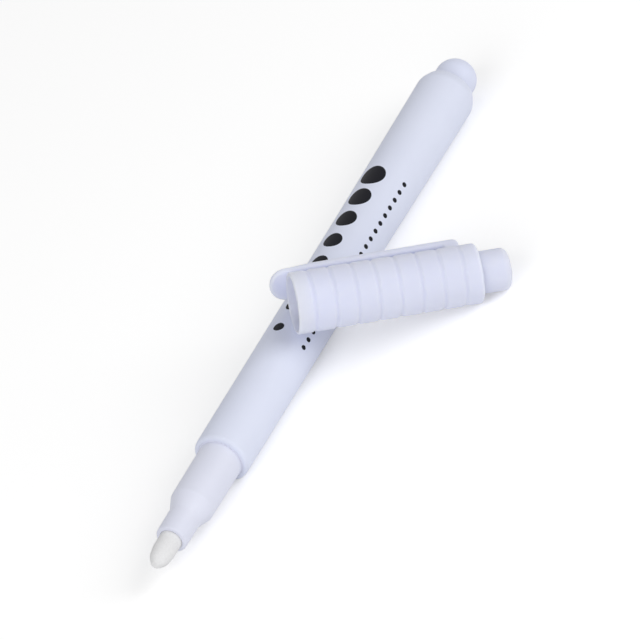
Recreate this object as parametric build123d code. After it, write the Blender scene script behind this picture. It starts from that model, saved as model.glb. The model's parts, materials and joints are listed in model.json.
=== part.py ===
from build123d import *
import os
from math import cos, pi, radians, sin, sqrt

# Liquid chalk marker lying on a table, with its cap taken off and leaning on the barrel.
# Millimetres. +X runs along the marker towards the nib and +Z is up. The origin is on the
# marker's axis, in the plane of the barrel's front shoulder, where the cap's mouth stops.

# Gaps between pieces, on the radius or between faces
press_gap = 0.02  # pushed together to stay
running_gap = 0.05  # one slides in the other
cap_gap = 0.10  # cap over the nose
seal_gap = 0.03  # stem head in front of the rubber seat
step_gap = 0.40  # narrowing of the cap's bore in front of the nose's step, cap on
rest_gap = 0.15  # leaning cap beside the barrel
flow_gap = 0.30  # ink path round the stem
head_gap = 0.56  # ink path round the stem's head
nib_stop_gap = 0.50  # nib pushed in, in front of the valve

# Barrel: parallel in front, a little wider towards the rear, and drawn in at its end
barrel_od = 9.9
barrel_wall = 0.8
barrel_length = 95.6
barrel_straight = 60.0  # parallel part
barrel_rear_od = 10.36
barrel_draw_length = 1.9
barrel_lip = 0.7  # wall left at the rear, round the plug
barrel_front_round = 0.65
barrel_rear_round = 2.4
barrel_lip_round = 0.6

# Plug that closes the rear of the barrel, with a domed end
plug_od = 7.35
plug_height = 6.05  # stands proud of the barrel
plug_flat = 0.18  # radius left flat at the top of the dome
plug_shank = 6.0
plug_wall = 1.0

# Nose, which the cap goes over and the nib comes out of
seat_od = 7.8
seat_length = 5.0
neck_od = 7.72
neck_end = 11.9
step_length = 2.8
step_round = 1.4
tip_root_od = 5.64
tip_od = 5.55
tip_end = 20.4
tip_round = 0.35
nose_shank_over = 1.0  # shank goes on behind the valve
nose_shank_wall = 0.8
nose_wall = 0.85
nose_front_wall = 1.0

# Fibre nib and the sleeve that feeds it
nib_od = 4.0
nib_length = 25.5
nib_reach = 6.6  # shows in front of the nose
nib_taper_length = 3.6
nib_blunt_length = 1.5
nib_waist_od = 3.36
nib_end_od = 1.4
nib_round = 2.4
nib_end_round = 0.55
sleeve_set = 0.4  # sleeve ends in front of the nib's rear end

# Pump valve behind the nib
nib_travel = 2.0
housing_length = 12.0
housing_wall = 0.7
housing_front = 1.2
seat_ring_thickness = 1.2
stem_od = 2.0
stem_head_thickness = 1.3
stem_head_chamfer = 0.4
stem_tail_od = 1.6
stem_tail_over = 0.5  # tail comes out behind the retainer
retainer_thickness = 1.5
port_count = 5
port_od = 0.9
spring_set = 0.15  # spring inside the rim of the stem's head
spring_wire = 0.4
spring_turns = 6

# Steel ball that stirs the ink
ball_od = 5.0
ball_stop_gap = 0.5

# Cap: a short ring at the mouth, then equal rings, the last of them cut short at the closed end
cap_mouth_od = 10.6
cap_end_od = 10.3
mouth_ring = 3.2
ring_pitch = 3.72
ring_count = 8  # behind the one at the mouth
end_ring = 2.92
groove_width = 0.9
groove_depth = 0.3
groove_shift = 0.18  # middle of a groove in front of its ring's start
cap_mouth_round = 0.3
cap_end_round = 0.6
cap_end_wall = 1.0
recess_wall = 0.5  # left round the wider start of the bore
recess_depth = 1.6
recess_least = 0.2  # wider than the bore by this much or more
liner_set = 0.30  # liner's front behind the narrowing of the bore

# Clip, moulded in one with the cap
clip_width = 6.0
clip_thickness = 1.0  # at the tip
clip_reach = 2.6  # past the mouth
clip_gap = 0.65  # over the cap at the mouth
clip_rise = 0.45  # of its outer face, behind the tip
clip_bend_start = 0.8  # from the mouth
clip_bend_length = 4.2
clip_bend_round = 6.0
clip_inset = 2.06  # far end, from the cap's closed end
clip_root_length = 2.6
clip_root_round = 1.1
clip_tip_round = 2.85
clip_sink = 0.1  # below the grooves

# Liner that seals the nib, with its end showing as the stub on the cap
liner_wall = 0.85
stub_od = 7.3
stub_height = 5.5
stub_round = 1.3
stub_dome = 0.6
stub_bulge = 0.48  # rise of the dome half-way to its centre
liner_nib_gap = 0.5
liner_end_wall = 1.0

# How the cap lies
cap_heading = 51.0  # mouth turned from the nib's direction, seen from above
cap_tilt = 17.85  # mouth raised
cap_along = -29.0  # centre of the mouth along the marker

# Sizes that follow from those above
barrel_r = barrel_od / 2
barrel_rear_r = barrel_rear_od / 2
table_drop = max(barrel_r, barrel_rear_r)
plug_r = plug_od / 2
plug_front = plug_shank - barrel_length
chamber_r = barrel_r - barrel_wall
shank_r = chamber_r - press_gap
step_end = neck_end + step_length
nib_bore_r = nib_od / 2 + running_gap
nib_tip = tip_end + nib_reach
nib_rear = nib_tip - nib_length
cavity_r = neck_od / 2 - nose_wall
cavity_front = neck_end - nose_front_wall
valve_front = nib_rear - nib_travel - nib_stop_gap
valve_rear = valve_front - housing_length
valve_r = shank_r - nose_shank_wall
nose_rear = valve_rear - nose_shank_over
housing_r = valve_r - press_gap
housing_bore_r = housing_r - housing_wall
stem_head_r = housing_bore_r - head_gap
seat_front = valve_front - housing_front
head_front = seat_front - seat_ring_thickness - seal_gap
head_rear = head_front - stem_head_thickness
retainer_front = valve_rear + retainer_thickness
stem_rear = valve_rear - stem_tail_over
cap_length = mouth_ring + (ring_count - 1) * ring_pitch + end_ring
cap_bore_r = max(seat_od, neck_od) / 2 + cap_gap
cap_bore_end = step_end + step_gap
recess_r = max(cap_mouth_od / 2 - recess_wall, cap_bore_r + recess_least)
cap_bore_start = recess_depth + recess_r - cap_bore_r
clip_root = cap_length - clip_inset
liner_front = cap_bore_end + liner_set
liner_bore_r = max(tip_root_od, tip_od) / 2 + running_gap
liner_r = liner_bore_r + liner_wall
liner_seat_r = liner_r + press_gap
stub_end = cap_length + stub_height


def turned(*corners):
    """Solid of revolution about X, from corners given as (x, radius, rounding)."""
    points = [(x, r) for x, r, rounding in corners]
    roundings = [rounding for x, r, rounding in corners]
    outline = FilletPolyline(*points, radius=roundings, close=True)
    return revolve(make_face(outline), Axis.X)


def make_barrel():
    rear = -barrel_length
    plug_bore_r = plug_r + press_gap
    return turned(
        (rear, plug_bore_r, 0),
        (rear, plug_bore_r + barrel_lip, barrel_lip_round),
        (rear + barrel_draw_length, barrel_rear_r, barrel_rear_round),
        (-barrel_straight, barrel_r, 0),
        (0, barrel_r, barrel_front_round),
        (0, chamber_r, 0),
        (plug_front, chamber_r, 0),
        (plug_front, plug_bore_r, 0),
    )


def make_end_plug():
    end = -barrel_length - plug_height
    core_end = end + plug_wall
    core_r = plug_r - plug_wall
    return turned(
        (plug_front, core_r, 0),
        (plug_front, plug_r, 0),
        (end, plug_r, plug_r - plug_flat),
        (end, 0, 0),
        (core_end, 0, 0),
        (core_end, core_r, core_r - plug_flat),
    )


def make_nose():
    rim_round = min(tip_round, (tip_od / 2 - nib_bore_r) / 2)
    return turned(
        (nose_rear, valve_r, 0),
        (nose_rear, shank_r, 0),
        (0, shank_r, 0),
        (0, seat_od / 2, 0),
        (seat_length, seat_od / 2, 0),
        (neck_end, neck_od / 2, step_round),
        (step_end, tip_root_od / 2, step_round),
        (tip_end, tip_od / 2, rim_round),
        (tip_end, nib_bore_r, 0),
        (cavity_front, nib_bore_r, 0),
        (cavity_front, cavity_r, 0),
        (valve_front, cavity_r, 0),
        (valve_front, valve_r, 0),
    )


def make_nib():
    blunt = nib_tip - nib_blunt_length
    return turned(
        (nib_rear, 0, 0),
        (nib_rear, nib_od / 2, 0),
        (nib_tip - nib_taper_length, nib_od / 2, nib_round),
        (blunt, nib_waist_od / 2, nib_round),
        (nib_tip, nib_end_od / 2, nib_end_round),
        (nib_tip, 0, 0),
    )


def ring(front, rear, outer_r, inner_r):
    """Plain ring about X between two planes."""
    return turned((rear, inner_r, 0), (rear, outer_r, 0), (front, outer_r, 0), (front, inner_r, 0))


def make_feed_sleeve():
    return ring(cavity_front, nib_rear + sleeve_set, cavity_r - press_gap, nib_bore_r)


def make_valve_housing():
    stem_hole_r = stem_od / 2 + flow_gap
    return turned(
        (valve_rear, housing_bore_r, 0),
        (valve_rear, housing_r, 0),
        (valve_front, housing_r, 0),
        (valve_front, stem_hole_r, 0),
        (seat_front, stem_hole_r, 0),
        (seat_front, housing_bore_r, 0),
    )


def make_valve_seat():
    seat_rear = seat_front - seat_ring_thickness
    return ring(seat_front, seat_rear, housing_bore_r - press_gap, stem_od / 2 + flow_gap)


def make_valve_stem():
    return turned(
        (stem_rear, 0, 0),
        (stem_rear, stem_tail_od / 2, 0),
        (head_rear, stem_tail_od / 2, 0),
        (head_rear, stem_head_r - stem_head_chamfer, 0),
        (head_rear + stem_head_chamfer, stem_head_r, 0),
        (head_front, stem_head_r, 0),
        (head_front, stem_od / 2, 0),
        (nib_rear, stem_od / 2, 0),
        (nib_rear, 0, 0),
    )


def make_valve_retainer():
    guide_r = stem_tail_od / 2 + running_gap
    disc_r = housing_bore_r - press_gap
    disc = ring(retainer_front, valve_rear, disc_r, guide_r)
    rear_face = Plane((valve_rear, 0, 0), z_dir=(1, 0, 0))
    places = PolarLocations((guide_r + disc_r) / 2, port_count)
    ports = Sketch() + [rear_face * place * Circle(port_od / 2) for place in places]
    return disc - extrude(ports, retainer_thickness)


def helix_path(front, rear, radius, turns):
    """Helix about X as pairs of tangent arcs, one pair for each quarter turn."""
    quarters = 4 * turns
    advance = (rear - front) / (2 * pi * turns)

    def at(quarter):
        angle = quarter * pi / 2
        return Vector(front + advance * angle, radius * cos(angle), radius * sin(angle))

    def along(quarter):
        angle = quarter * pi / 2
        return Vector(advance, -radius * sin(angle), radius * cos(angle)).normalized()

    arcs = []
    for quarter in range(quarters):
        start, end = at(quarter), at(quarter + 1)
        chord, both = end - start, along(quarter) + along(quarter + 1)
        spread = 4 - both.dot(both)
        across = chord.dot(both)
        reach = (sqrt(across**2 + spread * chord.dot(chord)) - across) / spread
        middle = (start + end + (along(quarter) - along(quarter + 1)) * reach) * 0.5
        arcs.append(TangentArc(start, middle, tangent=along(quarter)))
        arcs.append(TangentArc(middle, end, tangent=arcs[-1] % 1))
    return Wire(arcs)


def make_valve_spring():
    wire_r = spring_wire / 2
    first = head_rear - wire_r - press_gap
    last = retainer_front + wire_r + press_gap
    path = helix_path(first, last, stem_head_r - spring_set - wire_r, spring_turns)
    section = Plane(path @ 0, z_dir=path % 0) * Circle(wire_r)
    return sweep(section, path)


def make_mixing_ball():
    front_stop = min(stem_rear - nib_travel, nose_rear) - ball_stop_gap - ball_od / 2
    rear_stop = plug_front + ball_stop_gap + ball_od / 2
    low = chamber_r - ball_od / 2 - running_gap
    return Location(((front_stop + rear_stop) / 2, 0, -low)) * Sphere(ball_od / 2)


def cap_radius(x):
    """Radius of the cap's rings at a distance from its mouth."""
    return (cap_mouth_od + (cap_end_od - cap_mouth_od) * x / cap_length) / 2


def make_clip():
    under = cap_mouth_od / 2 + clip_gap
    brow = under + clip_thickness
    top = brow + clip_rise
    bend_end = clip_bend_start + clip_bend_length
    root = clip_root - clip_root_length
    groove_r = cap_radius(clip_root) - groove_depth
    foot = sqrt(groove_r**2 - (clip_width / 2) ** 2) - clip_sink
    side = FilletPolyline(
        (-clip_reach, under),
        (root, under),
        (root, foot),
        (clip_root, foot),
        (clip_root, top),
        (bend_end, top),
        (clip_bend_start, brow),
        (-clip_reach, brow),
        radius=[0, 0, 0, 0, clip_root_round, clip_bend_round, clip_bend_round, 0],
        close=True,
    )
    strip = extrude(Plane.XZ * make_face(side), clip_width / 2, both=True)
    span = clip_root + clip_reach
    plan = Location((clip_root - span / 2, 0)) * Rectangle(span, clip_width)
    plan = fillet(plan.vertices().group_by(Axis.X)[0], min(clip_tip_round, 0.49 * clip_width))
    return strip & extrude(plan, top)


def make_cap_shell():
    """Cap on the marker: its mouth at the shoulder and its closed end past the nib."""
    corners = [(0, 0, 0), (0, cap_mouth_od / 2, cap_mouth_round)]
    for groove in range(ring_count):
        x = mouth_ring + groove * ring_pitch - groove_shift
        start, end = x - groove_width / 2, x + groove_width / 2
        corners.append((start, cap_radius(start), 0))
        corners.append((x, cap_radius(x) - groove_depth, 0))
        corners.append((end, cap_radius(end), 0))
    corners.append((cap_length, cap_end_od / 2, cap_end_round))
    corners.append((cap_length, 0, 0))
    hollow = turned(
        (0, 0, 0),
        (0, recess_r, 0),
        (recess_depth, recess_r, 0),
        (cap_bore_start, cap_bore_r, 0),
        (cap_bore_end, cap_bore_r, 0),
        (cap_bore_end, liner_seat_r, 0),
        (cap_length - cap_end_wall, liner_seat_r, 0),
        (cap_length - cap_end_wall, stub_od / 2 + press_gap, 0),
        (cap_length, stub_od / 2 + press_gap, 0),
        (cap_length, 0, 0),
    )
    return turned(*corners) + make_clip() - hollow


def make_inner_cap():
    stub_r = stub_od / 2
    dome_edge = stub_end - stub_dome
    nib_room_r = nib_od / 2 + liner_nib_gap
    wall_x = cap_length - cap_end_wall
    core_end = stub_end - liner_end_wall
    return turned(
        (liner_front, liner_bore_r, 0),
        (liner_front, liner_r, 0),
        (wall_x, liner_r, 0),
        (wall_x, stub_r, 0),
        (dome_edge, stub_r, stub_round),
        (dome_edge + stub_bulge, stub_r / 2, stub_r / 2),
        (stub_end, 0, 0),
        (core_end, 0, 0),
        (core_end, nib_room_r, 0),
        (tip_end + liner_nib_gap, nib_room_r, 0),
        (tip_end + liner_nib_gap, liner_bore_r, 0),
    )


def cap_rest():
    """Where the cap lies: closed end on the table, rim of its mouth against the barrel."""
    tilt, heading = radians(cap_tilt), radians(cap_heading)
    level = Vector(cos(heading), -sin(heading), 0)
    out = level * cos(tilt) + Vector(0, 0, sin(tilt))
    down = level * sin(tilt) - Vector(0, 0, cos(tilt))
    side = Vector(-sin(heading), -cos(heading), 0)
    rounded_ends = [
        (cap_length, cap_end_od / 2, cap_end_round),
        (stub_end - stub_dome, stub_od / 2, stub_round),
    ]
    drops = [(r - e) * cos(tilt) + (x - e) * sin(tilt) + e for x, r, e in rounded_ends]
    height = max(drops) - table_drop
    reach = barrel_r + rest_gap
    aside = 0
    for degrees in range(90):
        rim = (down * cos(radians(degrees)) + side * sin(radians(degrees))) * (cap_mouth_od / 2)
        if abs(height + rim.Z) < reach:
            aside = max(aside, sqrt(reach**2 - (height + rim.Z) ** 2) - rim.Y)
    return Plane((cap_along, aside, height), x_dir=-out, z_dir=side).location


def make_pieces():
    pieces = {
        "barrel": make_barrel(),
        "end_plug": make_end_plug(),
        "nose": make_nose(),
        "nib": make_nib(),
        "feed_sleeve": make_feed_sleeve(),
        "valve_housing": make_valve_housing(),
        "valve_seat": make_valve_seat(),
        "valve_stem": make_valve_stem(),
        "valve_spring": make_valve_spring(),
        "valve_retainer": make_valve_retainer(),
        "mixing_ball": make_mixing_ball(),
    }
    lying = cap_rest()
    pieces["cap_shell"] = lying * make_cap_shell()
    pieces["inner_cap"] = lying * make_inner_cap()
    return pieces


os.makedirs("parts", exist_ok=True)
for name, piece in make_pieces().items():
    export_step(piece, f"parts/{name}.step")
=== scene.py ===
import json
from math import hypot, pi, radians, tan

import bmesh
import bpy
from mathutils import Matrix, Vector


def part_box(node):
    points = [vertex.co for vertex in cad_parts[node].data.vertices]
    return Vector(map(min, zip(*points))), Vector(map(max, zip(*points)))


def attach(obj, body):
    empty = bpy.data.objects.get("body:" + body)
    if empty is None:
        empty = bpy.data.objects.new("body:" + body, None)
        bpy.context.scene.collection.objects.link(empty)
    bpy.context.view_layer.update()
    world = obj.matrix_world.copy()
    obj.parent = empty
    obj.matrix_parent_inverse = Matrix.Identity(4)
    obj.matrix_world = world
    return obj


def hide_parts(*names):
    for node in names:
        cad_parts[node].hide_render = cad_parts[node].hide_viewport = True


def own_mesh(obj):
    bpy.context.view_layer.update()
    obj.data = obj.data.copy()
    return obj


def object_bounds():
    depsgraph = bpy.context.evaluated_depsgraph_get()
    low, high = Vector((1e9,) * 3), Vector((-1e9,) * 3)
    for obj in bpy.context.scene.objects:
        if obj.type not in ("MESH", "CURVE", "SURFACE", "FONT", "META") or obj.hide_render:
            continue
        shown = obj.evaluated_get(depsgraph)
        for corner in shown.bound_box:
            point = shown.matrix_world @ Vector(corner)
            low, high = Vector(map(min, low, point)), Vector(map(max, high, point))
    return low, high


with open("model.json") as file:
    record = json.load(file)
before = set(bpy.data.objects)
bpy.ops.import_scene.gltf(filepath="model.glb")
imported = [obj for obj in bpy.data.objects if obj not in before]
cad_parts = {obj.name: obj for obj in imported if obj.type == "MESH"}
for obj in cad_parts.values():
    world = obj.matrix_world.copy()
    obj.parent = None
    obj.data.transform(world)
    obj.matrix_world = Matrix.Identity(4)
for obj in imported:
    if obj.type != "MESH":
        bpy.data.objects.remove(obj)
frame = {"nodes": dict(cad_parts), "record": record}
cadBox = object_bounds()
mounts = {mount["name"]: mount for mount in frame["record"]["mounts"]}
print("frame loaded with", len(frame["nodes"]), "nodes")

mm = 0.001
weldGap = 0.0005 * mm
turnSteps = 144
bevelStep = 0.12 * mm  # reach of a bevel for each of its segments
fewestSegments, mostSegments = 3, 20
creaseAngle = 40  # edges that bend more stay sharp in the shading
noiseMiddle = 0.5


# Mesh tools

def lathe(corners, closed=True):  # corners are (x, radius, rounding), spun about X
    bm = bmesh.new()
    points = [bm.verts.new((x, radius, 0)) for x, radius, rounding in corners]
    for start, end in zip(points, points[1:]):
        bm.edges.new((start, end))
    if closed:
        bm.edges.new((points[-1], points[0]))
    bmesh.ops.spin(bm, geom=bm.verts[:] + bm.edges[:], cent=(0, 0, 0), axis=(1, 0, 0),
                   angle=2 * pi, steps=turnSteps, use_merge=True)
    bmesh.ops.remove_doubles(bm, verts=bm.verts[:], dist=weldGap)
    bmesh.ops.recalc_face_normals(bm, faces=bm.faces[:])
    roundCorners(bm, corners, lambda co: hypot(co.y, co.z))
    return bm


def edgesWhere(bm, test):
    return [edge for edge in bm.edges if all(test(vert.co) for vert in edge.verts)]


def roundCorners(bm, corners, heightOf):  # corners are (x, height, rounding radius), in order
    for before, corner, after in zip(corners[-1:] + corners[:-1], corners, corners[1:] + corners[:1]):
        x, height, radius = corner
        if radius:
            arriving = Vector((x - before[0], height - before[1]))
            leaving = Vector((after[0] - x, after[1] - height))
            edges = edgesWhere(bm, lambda co: (abs(co.x - x) < weldGap
                                               and abs(heightOf(co) - height) < weldGap))
            roundEdges(bm, edges, radius * tan(arriving.angle(leaving) / 2))


def roundEdges(bm, edges, offset):
    segments = max(fewestSegments, min(mostSegments, round(offset / bevelStep)))
    bmesh.ops.bevel(bm, geom=edges, offset=offset, offset_type="OFFSET", affect="EDGES",
                    segments=segments, profile=0.5, material=-1, clamp_overlap=True)


def sharpEdges(bm, angle):
    return [edge for edge in bm.edges if edge.is_manifold and edge.calc_face_angle() > angle]


def makePiece(bm, name, body, node, material, place=None):
    if place:
        bmesh.ops.transform(bm, matrix=place, verts=bm.verts[:])
    for face in bm.faces:
        face.smooth = True
    mesh = bpy.data.meshes.new(name)
    bm.to_mesh(mesh)
    bm.free()
    mesh.set_sharp_from_angle(angle=radians(creaseAngle))
    mesh.materials.append(material)
    piece = bpy.data.objects.new(name, mesh)
    bpy.context.scene.collection.objects.link(piece)
    even = piece.modifiers.new("evenShading", "WEIGHTED_NORMAL")
    even.keep_sharp = True
    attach(piece, body)
    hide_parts(node)
    print("made", name, "with", len(mesh.polygons), "faces")
    return piece


# Shader tools

class Wire:  # a socket that takes part in plain arithmetic
    def __init__(self, tree, socket=None):
        self.tree = tree
        self.socket = socket

    def node(self, kind, settings=None, sockets=None, out=0):
        made = self.tree.nodes.new(kind)
        for name, value in (settings or {}).items():
            setattr(made, name, value)
        for key, value in (sockets or {}).items():
            if isinstance(value, Wire):
                self.tree.links.new(value.socket, made.inputs[key])
            else:
                made.inputs[key].default_value = value
        return Wire(self.tree, made.outputs[out])

    def other(self, out):  # another output of the same node
        return Wire(self.tree, self.socket.node.outputs[out])

    def math(self, operation, *others):
        return self.node("ShaderNodeMath", {"operation": operation}, dict(enumerate((self, *others))))

    def clamped(self):
        return self.node("ShaderNodeClamp", {}, {"Value": self})

    def into(self, socket):
        self.tree.links.new(self.socket, socket)

    def __add__(self, other):
        return self.math("ADD", other)

    def __sub__(self, other):
        return self.math("SUBTRACT", other)

    def __rsub__(self, other):
        return self * -1.0 + other

    def __mul__(self, other):
        return self.math("MULTIPLY", other)

    __radd__ = __add__
    __rmul__ = __mul__


def newMaterial(name):
    material = bpy.data.materials.new(name)
    material.use_nodes = True
    tree = material.node_tree
    shader = tree.nodes["Principled BSDF"]
    return material, shader, Wire(tree).node("ShaderNodeTexCoord", out="Object")


def noise(place, size, detail=3.0):  # size of one blotch, in metres
    return place.node("ShaderNodeTexNoise", {}, {"Vector": place, "Scale": 1 / size, "Detail": detail})


def contrasted(pattern, contrast, middle=noiseMiddle):
    return (pattern - noiseMiddle) * contrast + middle


def blend(factor, first, second):  # the Mix node's colours are its sockets 6 and 7
    return factor.node("ShaderNodeMix", {"data_type": "RGBA"}, {0: factor, 6: first, 7: second}, out=2)


def stretched(place, along, across):  # long cells along X
    return place.node("ShaderNodeMapping", {"vector_type": "POINT"},
                      {"Vector": place, "Scale": (across / along, 1, 1)})


def mouldedColours(place, look):
    cloud = contrasted(noise(place, look["cloudSize"]), look["cloudContrast"])
    flowPlace = stretched(place, look["flowLength"], look["flowWidth"])
    flow = contrasted(noise(flowPlace, look["flowWidth"]), look["flowContrast"])
    mixed = cloud * look["cloudShare"] + flow * (1 - look["cloudShare"])
    return blend(mixed.clamped(), look["shade"], look["light"])


def mouldedFinish(shader, place, look):
    grain = noise(place, look["grainSize"], detail=2.0)
    handled = noise(place, look["handledSize"], detail=4.0)
    contrasted(handled, look["roughnessSpread"], look["roughness"]).into(shader.inputs["Roughness"])
    bump = place.node("ShaderNodeBump", {},
                      {"Strength": look["grainStrength"], "Distance": look["grainDepth"], "Height": grain})
    bump.into(shader.inputs["Normal"])
    shader.inputs["Specular IOR Level"].default_value = look["specular"]
    shader.inputs["Subsurface Weight"].default_value = look["milkiness"]
    shader.inputs["Subsurface Radius"].default_value = (1, 1, 1)
    shader.inputs["Subsurface Scale"].default_value = look["glowDepth"]


def mouldedPlastic(name, look):
    material, shader, place = newMaterial(name)
    mouldedColours(place, look).into(shader.inputs["Base Color"])
    mouldedFinish(shader, place, look)
    return material


moulding = {  # what the plastics share
    "cloudSize": 9 * mm,
    "cloudContrast": 2.2,
    "cloudShare": 0.6,  # the flow lines have the rest
    "flowLength": 14 * mm,
    "flowWidth": 1.6 * mm,
    "flowContrast": 1.6,
    "grainSize": 0.22 * mm,
    "grainStrength": 0.12,
    "grainDepth": 0.02 * mm,
    "handledSize": 3.5 * mm,
    "roughness": 0.46,
    "roughnessSpread": 0.16,
    "specular": 0.35,
    "milkiness": 0.0,
    "glowDepth": 1.2 * mm,
}


# Barrel, with two rows of plain printed dots

barrelLow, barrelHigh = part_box("barrel")
barrel = {
    "front": barrelHigh.x,
    "rear": barrelLow.x,
    "radius": 4.95 * mm,
    "wall": 0.8 * mm,
    "straight": 60 * mm,  # parallel part
    "rearRadius": 5.18 * mm,
    "drawLength": 1.9 * mm,  # drawn in towards the lip
    "lip": 0.7 * mm,
    "frontRound": 0.65 * mm,
    "rearRound": 2.4 * mm,
    "lipRound": 0.6 * mm,
}
barrelWhite = dict(moulding, light=(0.779, 0.814, 0.95, 1), shade=(0.749, 0.784, 0.925, 1), specular=0.12)
barrelPrint = {
    "ink": (0.006, 0.006, 0.01, 1),
    "inkRoughness": 0.5,
    "edge": 0.05 * mm,
    "start": 25.5 * mm,  # behind the shoulder
}
boldDots = {
    "pitch": 5.6 * mm,
    "count": 8,
    "angle": 0,  # from straight up, towards +Y
    "radius": 1.0 * mm,  # of the first dot
    "growth": 0.19 * mm,  # of the radius, from dot to dot
}
fineDots = {
    "pitch": 2.0 * mm,
    "count": 22,
    "angle": 68,
    "radius": 0.45 * mm,
    "growth": 0.0,
}


def dotRow(along, around, dots):
    step = (along - barrelPrint["start"]) * (1 / dots["pitch"])
    index = step.math("FLOOR")
    sideways = around - radians(dots["angle"]) * barrel["radius"]
    lengthways = (step - index - 0.5) * dots["pitch"]  # each dot is half-way along its step
    distance = (sideways * sideways + lengthways * lengthways).math("SQRT")
    depth = dots["radius"] + index * dots["growth"] - distance
    inside = (depth * (1 / barrelPrint["edge"]) + 0.5).clamped()  # a soft edge, half in and half out
    return inside * step.math("GREATER_THAN", 0.0) * step.math("LESS_THAN", float(dots["count"]))


def printedPlastic(name, look):
    material, shader, place = newMaterial(name)
    x = place.node("ShaderNodeSeparateXYZ", {}, {"Vector": place}, out="X")
    along = barrel["front"] - x
    around = x.other("Y").math("ARCTAN2", x.other("Z")) * barrel["radius"]
    mask = dotRow(along, around, boldDots).math("MAXIMUM", dotRow(along, around, fineDots))
    blend(mask, mouldedColours(place, look), barrelPrint["ink"]).into(shader.inputs["Base Color"])
    mouldedFinish(shader, place, look)
    plain = Wire(place.tree, shader.inputs["Roughness"].links[0].from_socket)
    (plain + mask * (barrelPrint["inkRoughness"] - plain)).into(shader.inputs["Roughness"])
    return material


def makeBarrel():
    bore = barrel["radius"] - barrel["wall"]
    plugBore = plug["radius"] + plug["pressGap"]
    bm = lathe([
        (barrel["rear"], plugBore, 0),
        (barrel["rear"], plugBore + barrel["lip"], barrel["lipRound"]),
        (barrel["rear"] + barrel["drawLength"], barrel["rearRadius"], barrel["rearRound"]),
        (barrel["front"] - barrel["straight"], barrel["radius"], 0),
        (barrel["front"], barrel["radius"], barrel["frontRound"]),
        (barrel["front"], bore, 0),
        (plug["front"], bore, 0),
        (plug["front"], plugBore, 0),
    ])
    plastic = printedPlastic("barrelPlastic", barrelWhite)
    makePiece(bm, "barrelTube", "barrel", "barrel", plastic)


# Plug in the rear of the barrel

plugLow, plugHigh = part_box("end_plug")
plug = {
    "end": plugLow.x,
    "front": plugHigh.x,
    "radius": plugHigh.z,
    "flat": 0.18 * mm,  # left at the top of the dome
    "wall": 1.0 * mm,
    "pressGap": 0.02 * mm,
}
plugWhite = dict(moulding, light=(0.77, 0.806, 0.965, 1), shade=(0.74, 0.776, 0.94, 1))


def makePlug():
    core = plug["radius"] - plug["wall"]
    floor = plug["end"] + plug["wall"]
    bm = lathe([
        (floor, 0, 0),
        (floor, core, core - plug["flat"]),
        (plug["front"], core, 0),
        (plug["front"], plug["radius"], 0),
        (plug["end"], plug["radius"], plug["radius"] - plug["flat"]),
        (plug["end"], 0, 0),
    ], closed=False)
    plastic = mouldedPlastic("plugPlastic", plugWhite)
    makePiece(bm, "endPlug", "barrel", "end_plug", plastic)


# Nose, stepped down to the tip that holds the nib

noseLow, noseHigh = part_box("nose")
seat = mounts["cap_seat"]["dims"]
nose = {
    "rear": noseLow.x,
    "tipEnd": noseHigh.x,
    "shankRadius": noseHigh.z,
    "shankWall": 0.8 * mm,
    "seatRadius": seat["r_mm"] * mm,
    "seatLength": seat["length_mm"] * mm,
    "neckRadius": 3.86 * mm,
    "neckEnd": 11.9 * mm,
    "stepLength": 2.8 * mm,
    "stepRound": 1.4 * mm,
    "tipRootRadius": 2.82 * mm,
    "tipRadius": 2.775 * mm,
    "tipRound": 0.35 * mm,
    "nibHole": 2.05 * mm,
    "frontWall": 1.0 * mm,
    "cavityRadius": 3.01 * mm,
    "cavityRear": -1.0 * mm,
}
noseWhite = dict(moulding, light=(0.776, 0.794, 0.91, 1), shade=(0.746, 0.764, 0.886, 1))


def makeNose():
    valveRadius = nose["shankRadius"] - nose["shankWall"]
    cavityFront = nose["neckEnd"] - nose["frontWall"]
    bm = lathe([
        (nose["rear"], valveRadius, 0),
        (nose["rear"], nose["shankRadius"], 0),
        (0, nose["shankRadius"], 0),
        (0, nose["seatRadius"], 0),
        (nose["seatLength"], nose["seatRadius"], 0),
        (nose["neckEnd"], nose["neckRadius"], nose["stepRound"]),
        (nose["neckEnd"] + nose["stepLength"], nose["tipRootRadius"], nose["stepRound"]),
        (nose["tipEnd"], nose["tipRadius"], nose["tipRound"]),
        (nose["tipEnd"], nose["nibHole"], 0),
        (cavityFront, nose["nibHole"], 0),
        (cavityFront, nose["cavityRadius"], 0),
        (nose["cavityRear"], nose["cavityRadius"], 0),
        (nose["cavityRear"], valveRadius, 0),
    ])
    plastic = mouldedPlastic("nosePlastic", noseWhite)
    makePiece(bm, "noseSection", "barrel", "nose", plastic)


# Fibre nib

nibLow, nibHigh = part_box("nib")
nib = {
    "rear": nibLow.x,
    "tip": nibHigh.x,
    "radius": nibHigh.z,
    "taper": 3.6 * mm,
    "blunt": 1.5 * mm,
    "waistRadius": 1.68 * mm,
    "endRadius": 0.7 * mm,
    "waistRound": 2.4 * mm,
    "endRound": 0.55 * mm,
}
nibFelt = {
    "light": (0.87, 0.87, 0.88, 1),
    "shade": (0.76, 0.76, 0.77, 1),
    "fibreLength": 0.9 * mm,
    "fibreWidth": 0.07 * mm,
    "fibreShare": 0.6,  # the tufts have the rest
    "tuftSize": 0.35 * mm,
    "contrast": 2.4,
    "paleness": 0.6,
    "bumpStrength": 0.5,
    "bumpDepth": 0.05 * mm,
    "roughness": 0.95,
    "specular": 0.1,
}


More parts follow.
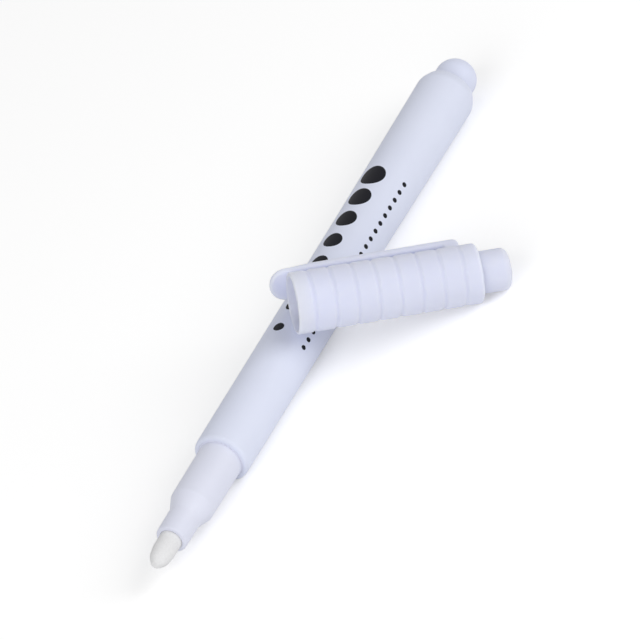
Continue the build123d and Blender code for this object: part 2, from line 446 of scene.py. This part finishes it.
def feltMaterial(name, look):
    material, shader, place = newMaterial(name)
    fibrePlace = stretched(place, look["fibreLength"], look["fibreWidth"])
    fibres = noise(fibrePlace, look["fibreWidth"], detail=2.0)
    tufts = noise(place, look["tuftSize"], detail=4.0)
    felt = fibres * look["fibreShare"] + tufts * (1 - look["fibreShare"])
    pale = contrasted(felt, look["contrast"], look["paleness"]).clamped()
    blend(pale, look["shade"], look["light"]).into(shader.inputs["Base Color"])
    bump = place.node("ShaderNodeBump", {},
                      {"Strength": look["bumpStrength"], "Distance": look["bumpDepth"], "Height": felt})
    bump.into(shader.inputs["Normal"])
    shader.inputs["Roughness"].default_value = look["roughness"]
    shader.inputs["Specular IOR Level"].default_value = look["specular"]
    return material


def makeNib():
    bm = lathe([
        (nib["rear"], 0, 0),
        (nib["rear"], nib["radius"], 0),
        (nib["tip"] - nib["taper"], nib["radius"], nib["waistRound"]),
        (nib["tip"] - nib["blunt"], nib["waistRadius"], nib["waistRound"]),
        (nib["tip"], nib["endRadius"], nib["endRound"]),
        (nib["tip"], 0, 0),
    ], closed=False)
    makePiece(bm, "feltNib", "nib", "nib", feltMaterial("nibFelt", nibFelt))


# Cap, ringed, with its clip and the liner whose end shows as a stub

mouthBore, linerBore = mounts["cap_mouth"], mounts["liner_bore"]
capOut = Vector(mouthBore["axis"]).normalized()
cap = {
    "mouthRadius": 5.3 * mm,
    "endRadius": 5.15 * mm,
    "mouthRing": 3.2 * mm,
    "ringPitch": 3.72 * mm,
    "ringCount": 8,  # behind the one at the mouth
    "endRing": 2.92 * mm,
    "grooveWidth": 0.9 * mm,
    "grooveDepth": 0.3 * mm,
    "grooveRound": 0.5 * mm,
    "grooveShift": 0.18 * mm,  # towards the mouth, from the start of a ring
    "mouthRound": 0.3 * mm,
    "endRound": 0.6 * mm,
    "endWall": 1.0 * mm,
    "boreRadius": mouthBore["dims"]["r_mm"] * mm,
    "boreLength": mouthBore["dims"]["length_mm"] * mm,
    "recessRadius": 4.8 * mm,  # wider start of the bore
    "recessDepth": 1.6 * mm,
}
liner = {
    "boreRadius": linerBore["dims"]["r_mm"] * mm,
    "boreLength": linerBore["dims"]["length_mm"] * mm,
    "wall": 0.85 * mm,
    "pressGap": 0.02 * mm,
    "nibRoom": 2.5 * mm,
    "stubRadius": 3.65 * mm,
    "stubHeight": 5.5 * mm,
    "stubRim": 1.3 * mm,
    "domeRise": 0.6 * mm,
    "domeBulge": 0.48 * mm,  # half-way to the centre
    "endWall": 1.0 * mm,
}
clip = {
    "width": 6.0 * mm,
    "thickness": 1.0 * mm,  # at the tip
    "reach": 2.6 * mm,  # past the mouth
    "gap": 0.65 * mm,  # over the cap at the mouth
    "rise": 0.45 * mm,  # of its outer face, behind the tip
    "bendStart": 0.8 * mm,
    "bendLength": 4.2 * mm,
    "bendRound": 6.0 * mm,
    "inset": 2.06 * mm,
    "rootLength": 2.6 * mm,
    "rootRound": 1.1 * mm,
    "tipRound": 2.85 * mm,
    "edgeRound": 0.36 * mm,
    "underRound": 0.6 * mm,
    "slotRound": 0.6 * mm,
    "sharpAngle": 50,  # edges that bend more are rounded
    "foot": 3.8 * mm,  # sunk in the cap's wall, below the grooves
}
capWhite = dict(moulding, light=(0.753, 0.776, 0.925, 1), shade=(0.723, 0.746, 0.9, 1), milkiness=1.0)
capPlastic = mouldedPlastic("capPlastic", capWhite)
capLength = cap["mouthRing"] + (cap["ringCount"] - 1) * cap["ringPitch"] + cap["endRing"]
boreStart = cap["recessDepth"] + cap["recessRadius"] - cap["boreRadius"]
mouthCentre = Vector(mouthBore["pos_m"]) + capOut * (cap["boreLength"] / 2 + boreStart)
clipSide = Vector(mounts["pocket_clip"]["pos_m"]) - mouthCentre
clipSide = (clipSide - clipSide.dot(capOut) * capOut).normalized()
capPlace = Matrix((-capOut, clipSide.cross(-capOut), clipSide)).transposed().to_4x4()
capPlace.translation = mouthCentre


def capRadius(x):
    return cap["mouthRadius"] + (cap["endRadius"] - cap["mouthRadius"]) * x / capLength


def makeCapShell():
    linerSeat = liner["boreRadius"] + liner["wall"] + liner["pressGap"]
    stubHole = liner["stubRadius"] + liner["pressGap"]
    boreEnd = boreStart + cap["boreLength"]
    corners = [
        (cap["recessDepth"], cap["recessRadius"], 0),
        (0, cap["recessRadius"], 0),
        (0, cap["mouthRadius"], cap["mouthRound"]),
    ]
    for groove in range(cap["ringCount"]):
        x = cap["mouthRing"] + groove * cap["ringPitch"] - cap["grooveShift"]
        start, end = x - cap["grooveWidth"] / 2, x + cap["grooveWidth"] / 2
        corners += [
            (start, capRadius(start), cap["grooveRound"]),
            (x, capRadius(x) - cap["grooveDepth"], cap["grooveRound"]),
            (end, capRadius(end), cap["grooveRound"]),
        ]
    corners += [
        (capLength, cap["endRadius"], cap["endRound"]),
        (capLength, stubHole, 0),
        (capLength - cap["endWall"], stubHole, 0),
        (capLength - cap["endWall"], linerSeat, 0),
        (boreEnd, linerSeat, 0),
        (boreEnd, cap["boreRadius"], 0),
        (boreStart, cap["boreRadius"], 0),
    ]
    makePiece(lathe(corners), "capShell", "cap", "cap_shell", capPlastic, capPlace)


def makeClip():
    under = cap["mouthRadius"] + clip["gap"]
    brow = under + clip["thickness"]
    top = brow + clip["rise"]
    tip = -clip["reach"]
    bendEnd = clip["bendStart"] + clip["bendLength"]
    rear = capLength - clip["inset"]
    root = rear - clip["rootLength"]
    side = [
        (tip, under, 0),
        (root, under, clip["slotRound"]),
        (root, clip["foot"], 0),
        (rear, clip["foot"], 0),
        (rear, top, clip["rootRound"]),
        (bendEnd, top, clip["bendRound"]),
        (clip["bendStart"], brow, clip["bendRound"]),
        (tip, brow, 0),
    ]
    bm = bmesh.new()
    face = bm.faces.new([bm.verts.new((x, -clip["width"] / 2, z)) for x, z, rounding in side])
    grown = bmesh.ops.extrude_face_region(bm, geom=[face])
    bmesh.ops.translate(bm, vec=(0, clip["width"], 0),
                        verts=[item for item in grown["geom"] if isinstance(item, bmesh.types.BMVert)])
    bmesh.ops.recalc_face_normals(bm, faces=bm.faces[:])
    roundCorners(bm, side, lambda co: co.z)
    tipEdges = edgesWhere(bm, lambda co: abs(co.x - tip) < weldGap)
    upright = [edge for edge in tipEdges if abs(edge.verts[0].co.y - edge.verts[1].co.y) < weldGap]
    roundEdges(bm, upright, clip["tipRound"])
    sharp = [edge for edge in sharpEdges(bm, radians(clip["sharpAngle"]))
             if any(vert.co.z > clip["foot"] + weldGap for vert in edge.verts)]
    inner = [edge for edge in sharp if all(vert.co.z < under + weldGap for vert in edge.verts)]
    outer = [edge for edge in sharp if edge not in inner]
    roundEdges(bm, outer, clip["edgeRound"])
    roundEdges(bm, [edge for edge in inner if edge.is_valid], clip["underRound"])
    makePiece(bm, "capClip", "cap", "cap_shell", capPlastic, capPlace)


def makeLiner():
    radius = liner["boreRadius"] + liner["wall"]
    front = (mouthCentre - Vector(linerBore["pos_m"])).dot(capOut) - liner["boreLength"] / 2
    boreEnd = front + liner["boreLength"]
    shoulder = capLength - cap["endWall"]
    end = capLength + liner["stubHeight"]
    edge = end - liner["domeRise"]
    floor = end - liner["endWall"]
    bm = lathe([
        (floor, 0, 0),
        (floor, liner["nibRoom"], 0),
        (boreEnd, liner["nibRoom"], 0),
        (boreEnd, liner["boreRadius"], 0),
        (front, liner["boreRadius"], 0),
        (front, radius, 0),
        (shoulder, radius, 0),
        (shoulder, liner["stubRadius"], 0),
        (edge, liner["stubRadius"], liner["stubRim"]),
        (edge + liner["domeBulge"], liner["stubRadius"] / 2, liner["stubRadius"] / 2),
        (end, 0, 0),
    ], closed=False)
    plastic = mouldedPlastic("linerPlastic", capWhite)
    makePiece(bm, "capLiner", "cap", "inner_cap", plastic, capPlace)


makeBarrel()
makePlug()
makeNose()
makeNib()
makeCapShell()
makeClip()
makeLiner()


# Pieces inside, which keep their shape and get a finish each

def patchyMaterial(name, look):
    material, shader, place = newMaterial(name)
    patchPlace = stretched(place, look["patchLength"], look["patchWidth"])
    patches = noise(patchPlace, look["patchWidth"], detail=4.0)
    blend(patches, look["shade"], look["light"]).into(shader.inputs["Base Color"])
    (look["roughness"] + patches * look["roughnessSpread"]).into(shader.inputs["Roughness"])
    shader.inputs["Metallic"].default_value = look["metallic"]
    return material


seatRubber = {
    "light": (0.045, 0.045, 0.047, 1),
    "shade": (0.022, 0.022, 0.024, 1),
    "patchLength": 0.5 * mm,
    "patchWidth": 0.5 * mm,
    "roughness": 0.62,
    "roughnessSpread": 0.2,
    "metallic": 0.0,
}
ballSteel = {
    "light": (0.62, 0.62, 0.64, 1),
    "shade": (0.5, 0.5, 0.52, 1),
    "patchLength": 0.6 * mm,
    "patchWidth": 0.6 * mm,
    "roughness": 0.1,
    "roughnessSpread": 0.12,
    "metallic": 1.0,
}
springSteel = dict(ballSteel, patchLength=0.05 * mm, patchWidth=0.4 * mm, roughness=0.25)
naturalPlastic = dict(moulding, light=(0.74, 0.74, 0.71, 1), shade=(0.66, 0.66, 0.63, 1), roughness=0.6)
feedFelt = dict(nibFelt, light=(0.78, 0.78, 0.76, 1), shade=(0.6, 0.6, 0.58, 1), fibreLength=1.5 * mm)

valvePlastic = mouldedPlastic("valvePlastic", naturalPlastic)
innerFinishes = {
    "feed_sleeve": feltMaterial("feedFibre", feedFelt),
    "valve_housing": valvePlastic,
    "valve_stem": valvePlastic,
    "valve_retainer": valvePlastic,
    "valve_seat": patchyMaterial("seatRubber", seatRubber),
    "mixing_ball": patchyMaterial("ballSteel", ballSteel),
}
for node, material in innerFinishes.items():
    frame["nodes"][node].material_slots[0].material = material
print("finished", len(innerFinishes), "inner pieces")


# Valve spring, coiled from a round wire

springLow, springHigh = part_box("valve_spring")
spring = {
    "front": springHigh.x,
    "rear": springLow.x,
    "radius": springHigh.z,  # outside
    "wire": 0.4 * mm,
    "turns": 6,
    "wireSides": 12,
    "turnSteps": 36,
}


def makeSpring():
    wireRadius = spring["wire"] / 2
    coilRadius = spring["radius"] - wireRadius
    start, end = spring["front"] - wireRadius, spring["rear"] + wireRadius
    steps = spring["turns"] * spring["turnSteps"]
    advance = (end - start) / steps
    heading = Vector((advance, 0, 2 * pi * coilRadius / spring["turnSteps"]))
    turn = heading.to_track_quat("Z", "Y").to_matrix().to_4x4()
    bm = bmesh.new()
    bmesh.ops.create_circle(bm, cap_ends=True, radius=wireRadius, segments=spring["wireSides"],
                            matrix=Matrix.Translation((start, coilRadius, 0)) @ turn)
    bmesh.ops.spin(bm, geom=bm.verts[:] + bm.edges[:] + bm.faces[:], cent=(0, 0, 0), axis=(1, 0, 0),
                   dvec=(advance, 0, 0), angle=2 * pi * spring["turns"], steps=steps)
    bmesh.ops.recalc_face_normals(bm, faces=bm.faces[:])
    steel = patchyMaterial("springSteel", springSteel)
    piece = makePiece(bm, "valveSpring", "barrel", "valve_spring", steel)
    joints = {joint["name"]: joint for joint in frame["record"]["behaviour"]["joints"]}
    travel = joints["nib_press"]["range_m"][1]
    1 - travel / (spring["front"] - spring["rear"])
    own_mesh(piece)


makeSpring()


# Table, light and camera

stage = {
    "tableSize": 3.0,
    "tableColour": (0.93, 0.93, 0.93, 1),
    "tableLift": 0.3,  # glow of the table in the picture alone
    "ambient": 0.42,
    "lampDistance": 0.9,
    "lampSize": 0.6,
}
lamps = {
    "keyLamp": {"from": (-0.33, 0.82, 0.57), "power": 3.1},
    "fillLamp": {"from": (0.8, 0.1, 0.6), "power": 2.4},
    "frontLamp": {"from": (0.9, 0.35, 0.1), "power": 1.1},
}


def seenRays(tree):  # rays that show the background: straight, mirrored or through glass
    straight = Wire(tree).node("ShaderNodeLightPath", out="Is Camera Ray")
    mirrored = straight.math("MAXIMUM", straight.other("Is Glossy Ray"))
    return mirrored.math("MAXIMUM", straight.other("Is Transmission Ray"))


def makeTable():
    bm = bmesh.new()
    bmesh.ops.create_grid(bm, x_segments=1, y_segments=1, size=stage["tableSize"] / 2)
    bmesh.ops.translate(bm, vec=(0, 0, cadBox[0].z), verts=bm.verts[:])
    mesh = bpy.data.meshes.new("table")
    bm.to_mesh(mesh)
    bm.free()
    material, shader, place = newMaterial("tablePaper")
    shader.inputs["Base Color"].default_value = stage["tableColour"]
    shader.inputs["Roughness"].default_value = 1.0
    shader.inputs["Specular IOR Level"].default_value = 0.0
    blend(seenRays(place.tree), (0, 0, 0, 1), (1, 1, 1, 1)).into(shader.inputs["Emission Color"])
    shader.inputs["Emission Strength"].default_value = stage["tableLift"]
    mesh.materials.append(material)
    table = bpy.data.objects.new("table", mesh)
    bpy.context.scene.collection.objects.link(table)


def addLamp(name, look):
    light = bpy.data.lights.new(name, "AREA")
    light.size = stage["lampSize"]
    light.energy = look["power"]
    lamp = bpy.data.objects.new(name, light)
    bpy.context.scene.collection.objects.link(lamp)
    toLamp = Vector(look["from"]).normalized()
    turn = toLamp.to_track_quat("Z", "Y").to_matrix().to_4x4()
    lamp.matrix_world = Matrix.Translation(toLamp * stage["lampDistance"]) @ turn


def lightStudio():
    world = bpy.data.worlds.new("studio")
    bpy.context.scene.world = world
    world.use_nodes = True
    background = world.node_tree.nodes["Background"]
    background.inputs["Color"].default_value = (1, 1, 1, 1)
    seen = seenRays(world.node_tree)
    (stage["ambient"] + seen * (1 - stage["ambient"])).into(background.inputs["Strength"])
    for name, look in lamps.items():
        addLamp(name, look)


photoView = {
    "azimuth": 130.12,
    "elevation": 33.54,
    "roll": -25.05,
    "frameWidth": 107.47 * mm,
    "distance": 4.4,
    "farthest": 20,
    "aim": (-22.1 * mm, 14.11 * mm, 11.79 * mm),
}


def placeCamera():
    lens = bpy.data.cameras.new("photoCamera")
    lens.lens = lens.sensor_width * photoView["distance"] / photoView["frameWidth"]
    lens.clip_end = photoView["farthest"]
    camera = bpy.data.objects.new("photoCamera", lens)
    bpy.context.scene.collection.objects.link(camera)
    turn = (Matrix.Rotation(radians(photoView["azimuth"]), 4, "Z")
            @ Matrix.Rotation(radians(90 - photoView["elevation"]), 4, "X")
            @ Matrix.Rotation(radians(photoView["roll"]), 4, "Z"))
    back = Matrix.Translation((0, 0, photoView["distance"]))
    camera.matrix_world = Matrix.Translation(photoView["aim"]) @ turn @ back
    bpy.context.scene.camera = camera


makeTable()
lightStudio()
placeCamera()
bpy.context.scene.view_settings.view_transform = "Standard"
print("table, light and camera placed")
